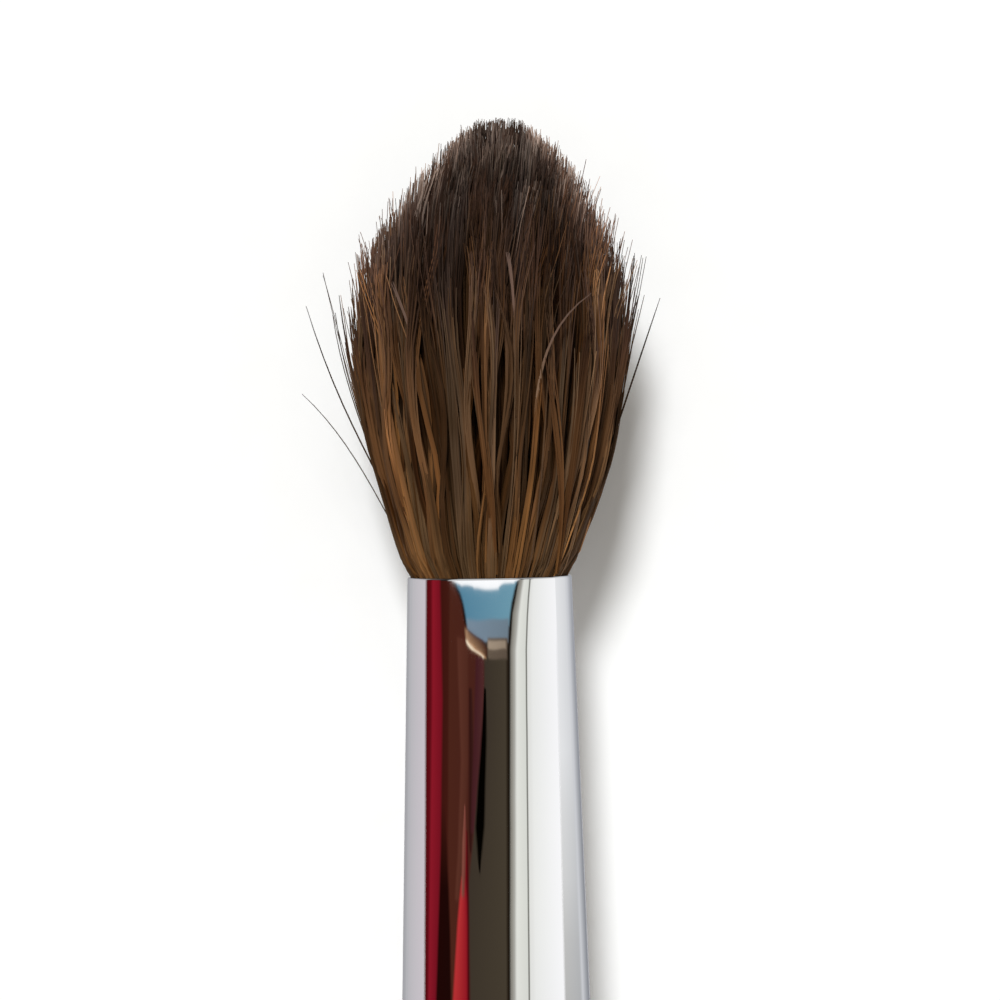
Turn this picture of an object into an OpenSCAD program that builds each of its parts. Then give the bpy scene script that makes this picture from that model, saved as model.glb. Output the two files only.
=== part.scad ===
// Eyeshadow brush: a tapered head of natural hair in a plated ferrule on a turned wooden handle.
// The brush lies on a table along Y, hair towards +Y. The table is at Z = 0.
// Along the brush, places are heights above the ferrule's mouth, and depths below it.

/* [Hair head] */
// Length of the hair out of the ferrule
hair_out = 20; // [17:0.1:23]
// Diameter of the head where it is widest
bulge_d = 12.4; // [11.6:0.1:13.2]
// Height of the widest place above the mouth
bulge_h = 9.8; // [8.5:0.1:11]
// How far the head's underside is pressed flat by the table
head_press = 0.5; // [0.3:0.05:0.5]
// Rings of strands from the middle to the rim
strand_rings = 11; // [10:1:11]
// Length of the taper at the end of a strand
tip_len = 3.6; // [2.8:0.1:4.4]
// Length by which strands differ at their tips
tip_spread = 0.9; // [0:0.1:1.2]
// Length of the hair roots inside the ferrule
root_len = 12; // [11:0.1:14]

/* [Ferrule] */
// Outer diameter at the mouth
mouth_d = 7.15; // [6.8:0.05:7.6]
// Outer diameter at the handle's end
ferrule_end_d = 9.3; // [8.6:0.05:9.9]
// Length from the mouth to the handle's shoulder
ferrule_len = 38; // [35:0.5:42]
// Wall of the tube
ferrule_wall = 0.25; // [0.2:0.01:0.3]
// Rounding of the tube's edges
lip_r = 0.08; // [0.05:0.01:0.09]
// Depth of a crimp
crimp_dip = 0.28; // [0.15:0.01:0.35]
// Width of a crimp
crimp_w = 1.5; // [1.2:0.1:1.8]
// Distance from the handle's end to the nearer crimp
crimp_from_end = 4.2; // [3:0.1:5]
// Distance between the crimps
crimp_pitch = 3; // [2.5:0.1:3.6]

/* [Root binding and resin] */
// Depth at which the binding thread starts
binding_depth = 7; // [6:0.1:8]
// Diameter of the binding thread
thread_d = 0.18; // [0.12:0.01:0.19]
// Turns of the thread, side by side
thread_turns = 11; // [8:1:12]
// Thickness of the resin behind the roots
resin_back = 3; // [2:0.1:4]

/* [Handle] */
// Length of the handle behind the ferrule
handle_len = 117; // [105:1:125]
// Length of the tenon inside the ferrule
tenon_len = 20; // [17:0.1:20]
// Step by which the handle's shoulder stands under the ferrule's outside
shoulder_step = 0.08; // [0:0.01:0.15]
// Diameter of the handle's belly
belly_d = 11.4; // [10.4:0.1:11.4]
// Distance from the shoulder to the belly
belly_from_shoulder = 26; // [20:0.5:34]
// Diameter of the tail before its rounded end
tail_d = 5.6; // [5:0.1:6.4]
// Length of the tail's rounded end
tail_round = 2.8; // [2.2:0.1:3.4]
// Diameter of the small flat where the handle was parted from the lathe
tail_flat_d = 2.4; // [2:0.1:3]
// Thickness of the adhesive around the tenon
glue_t = 0.2; // [0.15:0.01:0.25]

/* [Hidden] */
// Running gap between round faces that nest
nest_gap = 0.02;
$fn = 96;

// Outer shape of the ferrule
mouth_r = mouth_d / 2;
taper_share = (ferrule_end_d / 2 - mouth_r) / ferrule_len;
crimp_depths = [
    ferrule_len - crimp_from_end - crimp_pitch,
    ferrule_len - crimp_from_end
];

// Where the whole brush lies
overall_len = hair_out + ferrule_len + handle_len;
mouth_y = overall_len / 2 - hair_out;
axis_h = max(belly_d / 2, bulge_d / 2 - head_press);

// The hair bundle fills the ferrule's mouth
bundle_r = mouth_r - ferrule_wall - nest_gap;
bulge_r = bulge_d / 2;

// Where each strand of hair has its rings: two shares of the bulge's height, and one before its tip
low_ring_share = 0.27;
mid_ring_share = 0.56;
// Width of a strand at those rings, as a share of the room that it has there
low_width_share = 0.86;
mid_width_share = 0.84;
tip_width_share = 0.66;
// Fullness of the head's dome: 2 in both would be an ellipse
dome_across_share = 1.2;
dome_along_share = 1.8;
tip_seed = 7;

// A raised cosine from 0 at both ends to 1 in the middle
function bump(x, width) = abs(x) < width / 2 ? (1 + cos(360 * x / width)) / 2 : 0;

// Outer and inner radius of the ferrule at a depth below its mouth
function crimp_at(depth) = crimp_dip * max([for (at = crimp_depths) bump(depth - at, crimp_w)]);
function ferrule_r(depth) = mouth_r + taper_share * depth - crimp_at(depth);
function bore_r(depth) = ferrule_r(depth) - ferrule_wall;

// Depths that trace the tube: straight runs have only their ends, and each crimp has its curve
crimp_steps = 12;
function crimp_trace() = [
    for (at = crimp_depths, i = [0:crimp_steps]) at + crimp_w * (i / crimp_steps - 1 / 2)
];
function traced(from, to) = concat([from], [for (d = crimp_trace()) if (d > from && d < to) d], [to]);
function backwards(list) = [for (i = [len(list) - 1:-1:0]) list[i]];

// Turns a profile of [radius, depth] points round the brush's axis
module turned(profile) {
    rotate_extrude() polygon([for (p = profile) [p[0], -p[1]]]);
}

// Lays a piece down: its axis goes along Y, at its height above the table
module lying() {
    translate([0, mouth_y, axis_h]) rotate([-90, 0, 0]) children();
}

// Radius of the spreading hair at a height above the mouth
function spread_r(h) =
    h <= 0 ? bundle_r
    : h >= bulge_h ? bulge_r
    : bundle_r + (bulge_r - bundle_r) * sin(90 * h / bulge_h);

// Height at which hair that runs at a share of the head's radius comes out of the dome
function dome_h(share) =
    bulge_h + (hair_out - bulge_h)
        * pow(1 - pow(min(share, 1), dome_across_share), 1 / dome_along_share);

// Height at which hair that spreads downwards meets the table
function table_h(share, down_share) =
    let (limit_r = axis_h / max(share * down_share, 1 / 1000))
    limit_r >= bulge_r ? hair_out
    : bulge_h * asin((limit_r - bundle_r) / (bulge_r - bundle_r)) / 90;

// The lattice of the strands' roots: ring k has 6 k points, numbered from the middle outwards
function lattice_first(k) = k == 0 ? 0 : 1 + 3 * k * (k - 1);
function lattice_index(k, i) = k == 0 ? 0 : lattice_first(k) + i % (6 * k);
function lattice_point(k, i) =
    k == 0 ? [0, 0]
    : bundle_r * k / strand_rings * [cos(60 * i / k), sin(60 * i / k)];
lattice = [
    for (k = [0:strand_rings], i = [0:max(6 * k - 1, 0)]) lattice_point(k, i)
];
rim_first = lattice_first(strand_rings);
rim_count = 6 * strand_rings;

// Its triangles, in six sectors: those with their base outwards, and those with it inwards
function base_out(s, k, j) = [
    lattice_index(k - 1, s * (k - 1) + j),
    lattice_index(k, s * k + j),
    lattice_index(k, s * k + j + 1)
];
function base_in(s, k, j) = [
    lattice_index(k - 1, s * (k - 1) + j),
    lattice_index(k, s * k + j + 1),
    lattice_index(k - 1, s * (k - 1) + j + 1)
];
all_out = [for (s = [0:5], k = [1:strand_rings], j = [0:k - 1]) [s, base_out(s, k, j)]];
all_in = [for (s = [0:5], k = [2:strand_rings], j = [0:k - 2]) [s, base_in(s, k, j)]];

// Every second triangle carries a strand, so that strands share corners and never sides
roots = concat(
    [for (t = all_out) if (t[0] % 2 == 0) t[1]],
    [for (t = all_in) if (t[0] % 2 == 1) t[1]]
);
bare = concat(
    [for (t = all_out) if (t[0] % 2 == 1) t[1]],
    [for (t = all_in) if (t[0] % 2 == 0) t[1]]
);
shorter = rands(0, tip_spread, len(roots), tip_seed);
edge_share = 1 - 1 / (3 * strand_rings);

// One cross-section of a strand: its root's corners drawn together and spread with the bundle
function strand_ring(corners, middle, h, width_share, r) = [
    for (c = corners) concat((middle + (c - middle) * width_share) * r / bundle_r, [h])
];
// The points of a strand after its root: three rings of three, and the tip
function strand_points(corners, less) =
    let (
        middle = (corners[0] + corners[1] + corners[2]) / 3,
        share = norm(middle) / bundle_r / edge_share,
        down_share = middle[1] / max(norm(middle), bundle_r / 1000),
        end_h = min(dome_h(share), table_h(share, down_share)),
        short_tip = min(tip_len, (end_h - mid_ring_share * bulge_h) / 2),
        on_table = table_h(share, down_share) < dome_h(share),
        top_h = end_h - (on_table ? 0 : less * sqrt(share) * short_tip / tip_len),
        ring_h = end_h - short_tip,
        end_r = spread_r(end_h) / edge_share
    )
    concat(
        strand_ring(corners, middle, low_ring_share * bulge_h, low_width_share,
            spread_r(low_ring_share * bulge_h)),
        strand_ring(corners, middle, mid_ring_share * bulge_h, mid_width_share,
            spread_r(mid_ring_share * bulge_h)),
        strand_ring(corners, middle, ring_h, tip_width_share, spread_r(ring_h)),
        [concat(middle * end_r / bundle_r, [top_h])]
    );

// Side faces of a strand between two rings of three, then the three faces of its tip
function band(a, b) = [
    for (i = [0:2])
        let (j = (i + 1) % 3)
        each [[a[i], b[i], b[j]], [a[i], b[j], a[j]]]
];
function tip(a, top) = [for (i = [0:2]) [a[i], top, a[(i + 1) % 3]]];
function strand_faces(root, first) =
    let (
        low = [first, first + 1, first + 2],
        mid = [first + 3, first + 4, first + 5],
        high = [first + 6, first + 7, first + 8]
    )
    concat(band(root, low), band(low, mid), band(mid, high), tip(high, first + 9));

// The hair: all strands, fused to the bundle of their roots
module hair_tuft() {
    strand_first = len(lattice) + rim_count + 1;
    points = concat(
        [for (p = lattice) [p[0], p[1], 0]],
        [for (i = [0:rim_count - 1]) concat(lattice[rim_first + i], [-root_len])],
        [[0, 0, -root_len]],
        [
            for (n = [0:len(roots) - 1])
                each strand_points([for (i = roots[n]) lattice[i]], shorter[n])
        ]
    );
    back_rim = len(lattice);
    back_middle = back_rim + rim_count;
    faces = concat(
        [for (t = bare) [t[0], t[2], t[1]]],
        [
            for (i = [0:rim_count - 1])
                let (j = (i + 1) % rim_count)
                each [
                    [rim_first + i, rim_first + j, back_rim + j],
                    [rim_first + i, back_rim + j, back_rim + i],
                    [back_rim + i, back_rim + j, back_middle]
                ]
        ],
        [for (n = [0:len(roots) - 1]) each strand_faces(roots[n], strand_first + 10 * n)]
    );
    color("saddlebrown") lying() polyhedron(points, faces);
}

// The ferrule: a seamless tapered tube with rounded edges and two crimps near the handle
module ferrule() {
    depths = traced(lip_r, ferrule_len - lip_r);
    lip = [for (a = [0:30:90]) lip_r * [1 - cos(a), 1 - sin(a)]];
    outer = [for (d = depths) [ferrule_r(d), d]];
    inner = [for (d = depths) [bore_r(d), d]];
    mouth_out = [for (p = lip) [ferrule_r(lip_r) - p[0], p[1]]];
    mouth_in = [for (p = lip) [bore_r(lip_r) + p[0], p[1]]];
    end_out = [for (p = lip) [ferrule_r(ferrule_len - lip_r) - p[0], ferrule_len - p[1]]];
    end_in = [for (p = lip) [bore_r(ferrule_len - lip_r) + p[0], ferrule_len - p[1]]];
    color("silver") lying() turned(concat(
        backwards(mouth_out), [for (i = [1:len(outer) - 2]) outer[i]], end_out,
        backwards(end_in), [for (i = [len(inner) - 2:-1:1]) inner[i]], mouth_in
    ));
}

// The thread that ties the roots: turns side by side on the bundle
module root_binding() {
    inner_r = bundle_r + nest_gap;
    ridge = [
        for (n = [0:thread_turns - 1], a = [0:45:135])
            [inner_r + thread_d / 2 * (1 + sin(a)), binding_depth + thread_d * (n + (1 - cos(a)) / 2)]
    ];
    bottom = binding_depth + thread_d * thread_turns;
    color("wheat") lying() turned(concat(
        [[inner_r, binding_depth]], ridge, [[inner_r + thread_d / 2, bottom], [inner_r, bottom]]
    ));
}

// The resin: a skirt round the end of the roots and a plug behind them
module root_resin() {
    skirt_depth = binding_depth + thread_d * thread_turns;
    back = root_len + resin_back;
    color("goldenrod") lying() turned([
        [0, root_len], [bundle_r + nest_gap, root_len], [bundle_r + nest_gap, skirt_depth],
        [bore_r(skirt_depth) - nest_gap, skirt_depth], [bore_r(back) - nest_gap, back], [0, back]
    ]);
}

// Handle outline behind the shoulder, by distance from the shoulder
shoulder_r = ferrule_end_d / 2 - shoulder_step;
belly_r = belly_d / 2;
tail_r = tail_d / 2;
tail_at = handle_len - tail_round;
function steps(from, to, count) = [for (i = [1:count]) from + (to - from) * i / count];
function eased(t) = (1 - cos(180 * t)) / 2;
function handle_r(x) =
    x <= belly_from_shoulder
        ? shoulder_r + (belly_r - shoulder_r) * sin(90 * x / belly_from_shoulder)
        : belly_r + (tail_r - belly_r) * eased((x - belly_from_shoulder) / (tail_at - belly_from_shoulder));

// The handle: one turned piece with its tenon in the ferrule and a small flat at the tail
module handle() {
    tenon_front = ferrule_len - tenon_len;
    tenon = [for (d = traced(tenon_front + glue_t, ferrule_len)) [bore_r(d) - glue_t, d]];
    front_r = bore_r(tenon_front) - 2 * glue_t;
    places = concat([0], steps(0, belly_from_shoulder, 10), steps(belly_from_shoulder, tail_at, 26));
    body = [for (x = places) [handle_r(x), ferrule_len + x]];
    tail_angle = acos(tail_flat_d / tail_d);
    tail_depth = tail_round / sin(tail_angle);
    tail = [
        for (a = steps(0, tail_angle, 9)) [tail_r * cos(a), ferrule_len + tail_at + tail_depth * sin(a)]
    ];
    color("saddlebrown") lying() turned(concat(
        [[0, tenon_front], [front_r, tenon_front]], tenon, body, tail, [[0, ferrule_len + handle_len]]
    ));
}

// The adhesive: a thin sleeve between the tenon and the bore
module handle_glue() {
    depths = traced(ferrule_len - tenon_len + glue_t, ferrule_len - lip_r);
    color("khaki") lying() turned(concat(
        [for (d = depths) [bore_r(d) - nest_gap, d]],
        backwards([for (d = depths) [bore_r(d) - glue_t + nest_gap, d]])
    ));
}

hair_tuft();
ferrule();
root_binding();
root_resin();
handle();
handle_glue();
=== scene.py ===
import math

import bpy
import numpy as np
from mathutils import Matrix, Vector


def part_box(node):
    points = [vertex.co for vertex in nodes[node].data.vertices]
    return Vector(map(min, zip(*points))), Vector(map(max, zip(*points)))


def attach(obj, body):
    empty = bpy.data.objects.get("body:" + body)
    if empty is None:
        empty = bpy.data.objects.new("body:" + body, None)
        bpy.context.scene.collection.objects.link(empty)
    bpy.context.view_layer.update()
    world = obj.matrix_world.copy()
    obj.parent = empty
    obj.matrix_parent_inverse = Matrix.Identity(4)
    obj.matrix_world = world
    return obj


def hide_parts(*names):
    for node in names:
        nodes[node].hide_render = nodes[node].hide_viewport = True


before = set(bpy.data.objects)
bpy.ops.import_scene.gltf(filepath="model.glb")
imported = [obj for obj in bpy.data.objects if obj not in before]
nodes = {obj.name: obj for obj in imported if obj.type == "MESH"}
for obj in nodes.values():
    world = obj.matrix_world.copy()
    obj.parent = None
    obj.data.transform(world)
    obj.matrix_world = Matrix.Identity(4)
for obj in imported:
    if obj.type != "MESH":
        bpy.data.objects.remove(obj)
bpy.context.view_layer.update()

MM = 0.001

# Sizes read from the frame: the brush lies along Y, hair towards +Y
ferrule_low, ferrule_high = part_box("ferrule")
tuft_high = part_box("hair_tuft")[1]
mouth_y = ferrule_high.y
ferrule_len = ferrule_high.y - ferrule_low.y
axis_z = (ferrule_low.z + ferrule_high.z) / 2
ferrule_end_r = (ferrule_high.x - ferrule_low.x) / 2

# Sizes of the part's own source that the frame doesn't give
hair_out = 20 * MM
mouth_r = 3.575 * MM
ferrule_wall = 0.25 * MM
lip_r = 0.08 * MM
crimp_dip = 0.28 * MM
crimp_w = 1.5 * MM
crimp_from_end = 4.2 * MM
crimp_pitch = 3 * MM
handle_len = 117 * MM
tenon_len = 20 * MM
shoulder_step = 0.08 * MM
belly_r = 5.7 * MM
belly_from_shoulder = 26 * MM
tail_r = 2.8 * MM
tail_round = 2.8 * MM
tail_flat_r = 1.2 * MM
glue_t = 0.2 * MM
nest_gap = 0.02 * MM
bundle_r = mouth_r - ferrule_wall - nest_gap
bulge_h = 9.8 * MM

# The solid's outermost strands end this much inside the head's radius
strand_gap = 0.01 * MM
bulge_r = tuft_high.x + strand_gap

# The photograph's frame: its scale, where the ferrule's mouth lies in it, and how far the brush leans
PHOTO_PX = 1000
MM_PER_PX = 20 / 459
MOUTH_PX = (489.5, 576)
AXIS_LEAN_DEG = 0.92
CAMERA_ABOVE = 140 * MM
SENSOR_MM = 36
turn = math.radians(AXIS_LEAN_DEG)


def photo_point(px, py, z=None):
    """World place of a pixel of the photograph, at height z (the brush's axis if none is given)."""
    right = Vector((math.cos(-turn), math.sin(-turn), 0))
    up = Vector((-math.sin(-turn), math.cos(-turn), 0))
    mouth = Vector((0, mouth_y, axis_z))
    flat = mouth + MM * MM_PER_PX * ((px - MOUTH_PX[0]) * right - (py - MOUTH_PX[1]) * up)
    if z is None:
        return flat
    return flat + (camera_place() - flat) * ((z - axis_z) / CAMERA_ABOVE)


def camera_place():
    """The camera stands straight above the middle of the photograph."""
    return photo_point(PHOTO_PX / 2, PHOTO_PX / 2) + Vector((0, 0, CAMERA_ABOVE))


def make_camera():
    """The photograph's view: straight down, with the brush's axis leaning a little in the frame."""
    data = bpy.data.cameras.new("photo_camera")
    half_width = PHOTO_PX / 2 * MM_PER_PX * MM
    data.sensor_width = SENSOR_MM
    data.lens = SENSOR_MM / 2 * CAMERA_ABOVE / half_width
    data.clip_start, data.clip_end = 1 * MM, 10
    camera = bpy.data.objects.new("photo_camera", data)
    bpy.context.scene.collection.objects.link(camera)
    camera.location = camera_place()
    camera.rotation_euler = (0, 0, -turn)
    bpy.context.scene.camera = camera


class Nodes:
    """A material's or world's node tree, with short ways to add and link nodes."""

    def __init__(self, tree):
        self.tree = tree
        tree.nodes.clear()

    def feed(self, socket, value):
        """Links the socket to another node's output, or sets its plain value."""
        if isinstance(value, bpy.types.NodeSocket):
            self.tree.links.new(value, socket)
        else:
            socket.default_value = value

    def add(self, kind, inputs=None, **settings):
        node = self.tree.nodes.new("ShaderNode" + kind)
        for key, value in settings.items():
            setattr(node, key, value)
        for key, value in (inputs or {}).items():
            self.feed(node.inputs[key], value)
        return node

    def place(self):
        return self.add("TexCoord").outputs["Object"]

    def attribute(self, name):
        return self.add("Attribute", attribute_name=name).outputs["Fac"]

    def math(self, operation, a, b=0.0):
        return self.add("Math", {0: a, 1: b}, operation=operation).outputs[0]

    def map_range(self, value, from_min, from_max, to_min=0.0, to_max=1.0):
        ends = {"From Min": from_min, "From Max": from_max, "To Min": to_min, "To Max": to_max}
        return self.add("MapRange", {"Value": value, **ends}).outputs[0]

    def mix(self, factor, a, b, blend="MIX"):
        node = self.add("Mix", {0: factor}, data_type="RGBA", blend_type=blend)
        self.feed(node.inputs[6], a)
        self.feed(node.inputs[7], b)
        return node.outputs[2]

    def ramp(self, factor, stops):
        node = self.add("ValToRGB", {0: factor})
        elements = node.color_ramp.elements
        while len(elements) < len(stops):
            elements.new(0.5)
        for element, (place, colour) in zip(elements, stops):
            element.position = place
            element.color = (*colour, 1)
        return node.outputs[0]

    def noise(self, vector, scale, detail=2.0, roughness=0.5):
        inputs = {"Vector": vector, "Scale": scale, "Detail": detail, "Roughness": roughness}
        return self.add("TexNoise", inputs).outputs["Fac"]

    def stretched(self, vector, along):
        """Coordinates in which a texture is drawn out along the brush."""
        return self.add("Mapping", {"Vector": vector, "Scale": (1, along, 1)}).outputs[0]

    def bump(self, height, strength, distance):
        inputs = {"Strength": strength, "Distance": distance, "Height": height}
        return self.add("Bump", inputs).outputs[0]

    def principled(self, inputs):
        """Ends the material with the principled shader."""
        self.output(self.add("BsdfPrincipled", inputs).outputs[0])

    def output(self, shader, kind="OutputMaterial"):
        self.add(kind, {"Surface": shader})


def srgb(red, green, blue):
    """A colour given as screen values from 0 to 255."""
    values = [v / 255 for v in (red, green, blue)]
    return tuple(v / 12.92 if v <= 0.04045 else ((v + 0.055) / 1.055) ** 2.4 for v in values) + (1.0,)


def new_material(name):
    material = bpy.data.materials.new(name)
    material.use_nodes = True
    return material, Nodes(material.node_tree)


def set_material(piece, material):
    piece.data.materials.clear()
    piece.data.materials.append(material)


def plated_metal():
    """Mirror-bright plating: almost no roughness, with faint smears and very shallow waves."""
    material, n = new_material("ferrule_plating")
    place = n.place()
    waves = n.noise(n.stretched(place, 0.5), 330, 2)
    smears = n.noise(place, 120, 4)
    n.principled({
        "Base Color": n.mix(smears, (0.54, 0.54, 0.55, 1), (0.58, 0.58, 0.58, 1)),
        "Metallic": 1.0,
        "Roughness": n.map_range(smears, 0.35, 0.75, 0.012, 0.03),
        "Specular Tint": (0.72, 0.72, 0.74, 1),
        "Normal": n.bump(waves, 0.6, 0.008 * MM),
    })
    return material


def lacquered_wood():
    """Dark-stained hardwood with long grain and pores, under clear gloss lacquer."""
    material, n = new_material("lacquered_wood")
    place = n.place()
    warp = n.noise(n.stretched(place, 0.15), 60, 3)
    grain = n.noise(n.stretched(place, 0.045), 900, 6, 0.62)
    wave = {"Scale": 120, "Distortion": 6.0, "Detail": 3.0, "Detail Scale": 1.2}
    bands = n.add("TexWave", {"Vector": n.stretched(place, 0.06), **wave}, bands_direction="X").outputs["Fac"]
    pores = n.noise(n.stretched(place, 0.02), 3800, 2)
    figure = n.math("ADD", n.math("MULTIPLY", grain, 0.6), n.math("MULTIPLY", bands, 0.4))
    stain = n.ramp(figure, [
        (0.25, (0.022, 0.009, 0.005)),
        (0.50, (0.062, 0.026, 0.013)),
        (0.78, (0.145, 0.063, 0.030)),
    ])
    stain = n.mix(warp, stain, (0.075, 0.030, 0.016, 1))
    dark_pores = n.ramp(pores, [(0.36, (0.25, 0.25, 0.25)), (0.46, (1, 1, 1))])
    n.principled({
        "Base Color": n.mix(1.0, stain, dark_pores, "MULTIPLY"),
        "Roughness": n.map_range(grain, 0.3, 0.7, 0.32, 0.45),
        "Specular IOR Level": 0.0,
        "Normal": n.bump(pores, 0.15, 0.02 * MM),
        "Coat Weight": 0.3,
        "Coat IOR": 1.6,
        "Coat Roughness": 0.03,
    })
    return material


def hair_fibre(name):
    """Natural hair, darker and greyer towards the tip.

    Three attributes set its colour: rise is the height in the head, tone is how light it is, painted light
    and shade included, and warmth leans it to golden or to grey.
    """
    material, n = new_material(name)
    rise, tone, warmth = n.attribute("rise"), n.attribute("tone"), n.attribute("warmth")
    warm = n.ramp(rise, [
        (0.00, (0.133, 0.057, 0.0162)),
        (0.24, (0.099, 0.040, 0.0124)),
        (0.46, (0.114, 0.0502, 0.0185)),
        (0.66, (0.0505, 0.0228, 0.0125)),
        (0.86, (0.0265, 0.0148, 0.0102)),
        (1.00, (0.125, 0.084, 0.064)),
    ])
    cool = n.ramp(rise, [
        (0.00, (0.0875, 0.0486, 0.0216)),
        (0.24, (0.061, 0.034, 0.0175)),
        (0.46, (0.073, 0.0437, 0.0242)),
        (0.66, (0.0362, 0.0217, 0.0155)),
        (0.86, (0.0232, 0.0153, 0.0126)),
        (1.00, (0.115, 0.087, 0.072)),
    ])
    # Dark hairs lose more green and blue than red
    green = n.math("MINIMUM", tone, n.math("POWER", tone, 1.22))
    blue = n.math("MINIMUM", tone, n.math("POWER", tone, 1.6))
    shade = n.add("CombineColor", {0: tone, 1: green, 2: blue}).outputs[0]
    colour = n.mix(1.0, n.mix(warmth, cool, warm), shade, "MULTIPLY")
    n.principled({"Base Color": colour, "Roughness": 0.5, "Specular IOR Level": 0.1})
    return material


def plain_inner(name, dark, light, roughness, scale):
    """A hidden inner material: two close tones in a fine noise."""
    material, n = new_material(name)
    mottle = n.noise(n.place(), scale, 3)
    n.principled({"Base Color": n.mix(mottle, dark, light), "Roughness": roughness})
    return material


def mesh_object(name, vertices, faces, smooth=True):
    mesh = bpy.data.meshes.new(name)
    mesh.from_pydata([tuple(v) for v in vertices], [], faces)
    mesh.update()
    if smooth:
        mesh.shade_smooth()
    piece = bpy.data.objects.new(name, mesh)
    bpy.context.scene.collection.objects.link(piece)
    return piece


def revolved(name, profile, sides):
    """A closed ring of [radius, y] points turned round the brush's axis. A radius of 0 closes on the axis."""
    vertices, rings = [], []
    for radius, y in profile:
        if radius <= 0:
            rings.append([len(vertices)] * sides)
            vertices.append((0, y, axis_z))
            continue
        rings.append(list(range(len(vertices), len(vertices) + sides)))
        for i in range(sides):
            angle = 2 * math.pi * i / sides
            vertices.append((radius * math.cos(angle), y, axis_z + radius * math.sin(angle)))
    faces = []
    for a, b in zip(rings, rings[1:] + rings[:1]):
        if a[0] == a[1] and b[0] == b[1]:
            continue
        for i in range(sides):
            j = (i + 1) % sides
            corners = [a[i], b[i], b[j], a[j]]
            faces.append([c for k, c in enumerate(corners) if c != corners[k - 1]])
    return mesh_object(name, vertices, faces)


FERRULE_SIDES, HANDLE_SIDES = 256, 192
STRAIGHT_RINGS, CRIMPED_RINGS = 24, 90
TENON_RINGS, SHOULDER_RINGS, BODY_RINGS, TAIL_RINGS = 60, 50, 130, 30
LIP_DEGREES = (0, 22.5, 45, 67.5, 90)
# How far a ring stands beside a sharp edge of the handle, to keep the edge crisp when it is shaded smooth
CRISP_EDGE = 0.03 * MM


def bump_curve(x, width):
    return (1 + math.cos(2 * math.pi * x / width)) / 2 if abs(x) < width / 2 else 0.0


def ferrule_radius(depth):
    """Outer radius of the ferrule at a depth below its mouth."""
    crimps = [ferrule_len - crimp_from_end - crimp_pitch, ferrule_len - crimp_from_end]
    dip = max(bump_curve(depth - at, crimp_w) for at in crimps)
    return mouth_r + (ferrule_end_r - mouth_r) * depth / ferrule_len - crimp_dip * dip


def lip_curve(radius, inwards, end, back):
    """The rounded edge between a side of the tube's wall and its end, as [radius, depth] points."""
    return [
        (radius - inwards * lip_r * (1 - math.cos(a)), end + back * lip_r * (1 - math.sin(a)))
        for a in map(math.radians, LIP_DEGREES)
    ]


def make_ferrule():
    """The seamless tube, with finely stepped crimps and rounded edges, in place of the CAD tube."""
    straight_to = ferrule_len - crimp_from_end - crimp_pitch - crimp_w
    depths = [lip_r, 1.3 * lip_r, 2 * lip_r, 4 * lip_r]
    depths += np.linspace(8 * lip_r, straight_to, STRAIGHT_RINGS).tolist()
    depths += np.linspace(straight_to, ferrule_len - 2 * lip_r, CRIMPED_RINGS).tolist()[1:]
    depths += [ferrule_len - 1.3 * lip_r, ferrule_len - lip_r]
    outer = [(ferrule_radius(d), d) for d in depths]
    inner = [(r - ferrule_wall, d) for r, d in outer]
    mouth_out = lip_curve(outer[0][0], 1, 0, 1)
    mouth_in = lip_curve(inner[0][0], -1, 0, 1)
    end_out = lip_curve(outer[-1][0], 1, ferrule_len, -1)
    end_in = lip_curve(inner[-1][0], -1, ferrule_len, -1)
    ring = mouth_out[::-1] + outer[1:-1] + end_out + end_in[::-1] + inner[-2:0:-1] + mouth_in
    piece = revolved("ferrule_tube", [(r, mouth_y - d) for r, d in ring], FERRULE_SIDES)
    set_material(piece, plated_metal())
    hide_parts("ferrule")
    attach(piece, "root")


def handle_radius(behind):
    """Outer radius of the handle at a distance behind its shoulder."""
    shoulder_r = ferrule_end_r - shoulder_step
    if behind <= belly_from_shoulder:
        return shoulder_r + (belly_r - shoulder_r) * math.sin(math.pi / 2 * behind / belly_from_shoulder)
    share = (behind - belly_from_shoulder) / (handle_len - tail_round - belly_from_shoulder)
    return belly_r + (tail_r - belly_r) * (1 - math.cos(math.pi * share)) / 2


def make_handle():
    """The turned handle with its tenon, in finer steps, in place of the CAD handle."""
    front = ferrule_len - tenon_len
    front_r = ferrule_radius(front) - ferrule_wall - 2 * glue_t
    tenon_depths = np.linspace(front + glue_t, ferrule_len, TENON_RINGS)
    tenon = [(ferrule_radius(d) - ferrule_wall - glue_t, d) for d in tenon_depths]
    shoulder = [(tenon[-1][0] + CRISP_EDGE, ferrule_len), (handle_radius(0) - CRISP_EDGE, ferrule_len)]
    body_len = handle_len - tail_round
    places = [CRISP_EDGE, 3 * CRISP_EDGE]
    places += np.linspace(0.5 * MM, belly_from_shoulder, SHOULDER_RINGS).tolist()
    places += np.linspace(belly_from_shoulder, body_len, BODY_RINGS).tolist()[1:]
    body = [(handle_radius(x), ferrule_len + x) for x in places]
    angle = math.acos(tail_flat_r / tail_r)
    deep = tail_round / math.sin(angle)
    turns = np.linspace(0, angle, TAIL_RINGS).tolist()[1:]
    tail = [(tail_r * math.cos(a), ferrule_len + body_len + deep * math.sin(a)) for a in turns]
    end = ferrule_len + handle_len
    tip = [(tail_flat_r - CRISP_EDGE, end), (0, end)]
    profile = [(0, front), (front_r - CRISP_EDGE, front), (front_r, front)]
    profile += tenon + shoulder + body + tail + tip
    piece = revolved("turned_handle", [(r, mouth_y - d) for r, d in profile], HANDLE_SIDES)
    set_material(piece, lacquered_wood())
    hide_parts("handle")
    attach(piece, "root")


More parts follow.
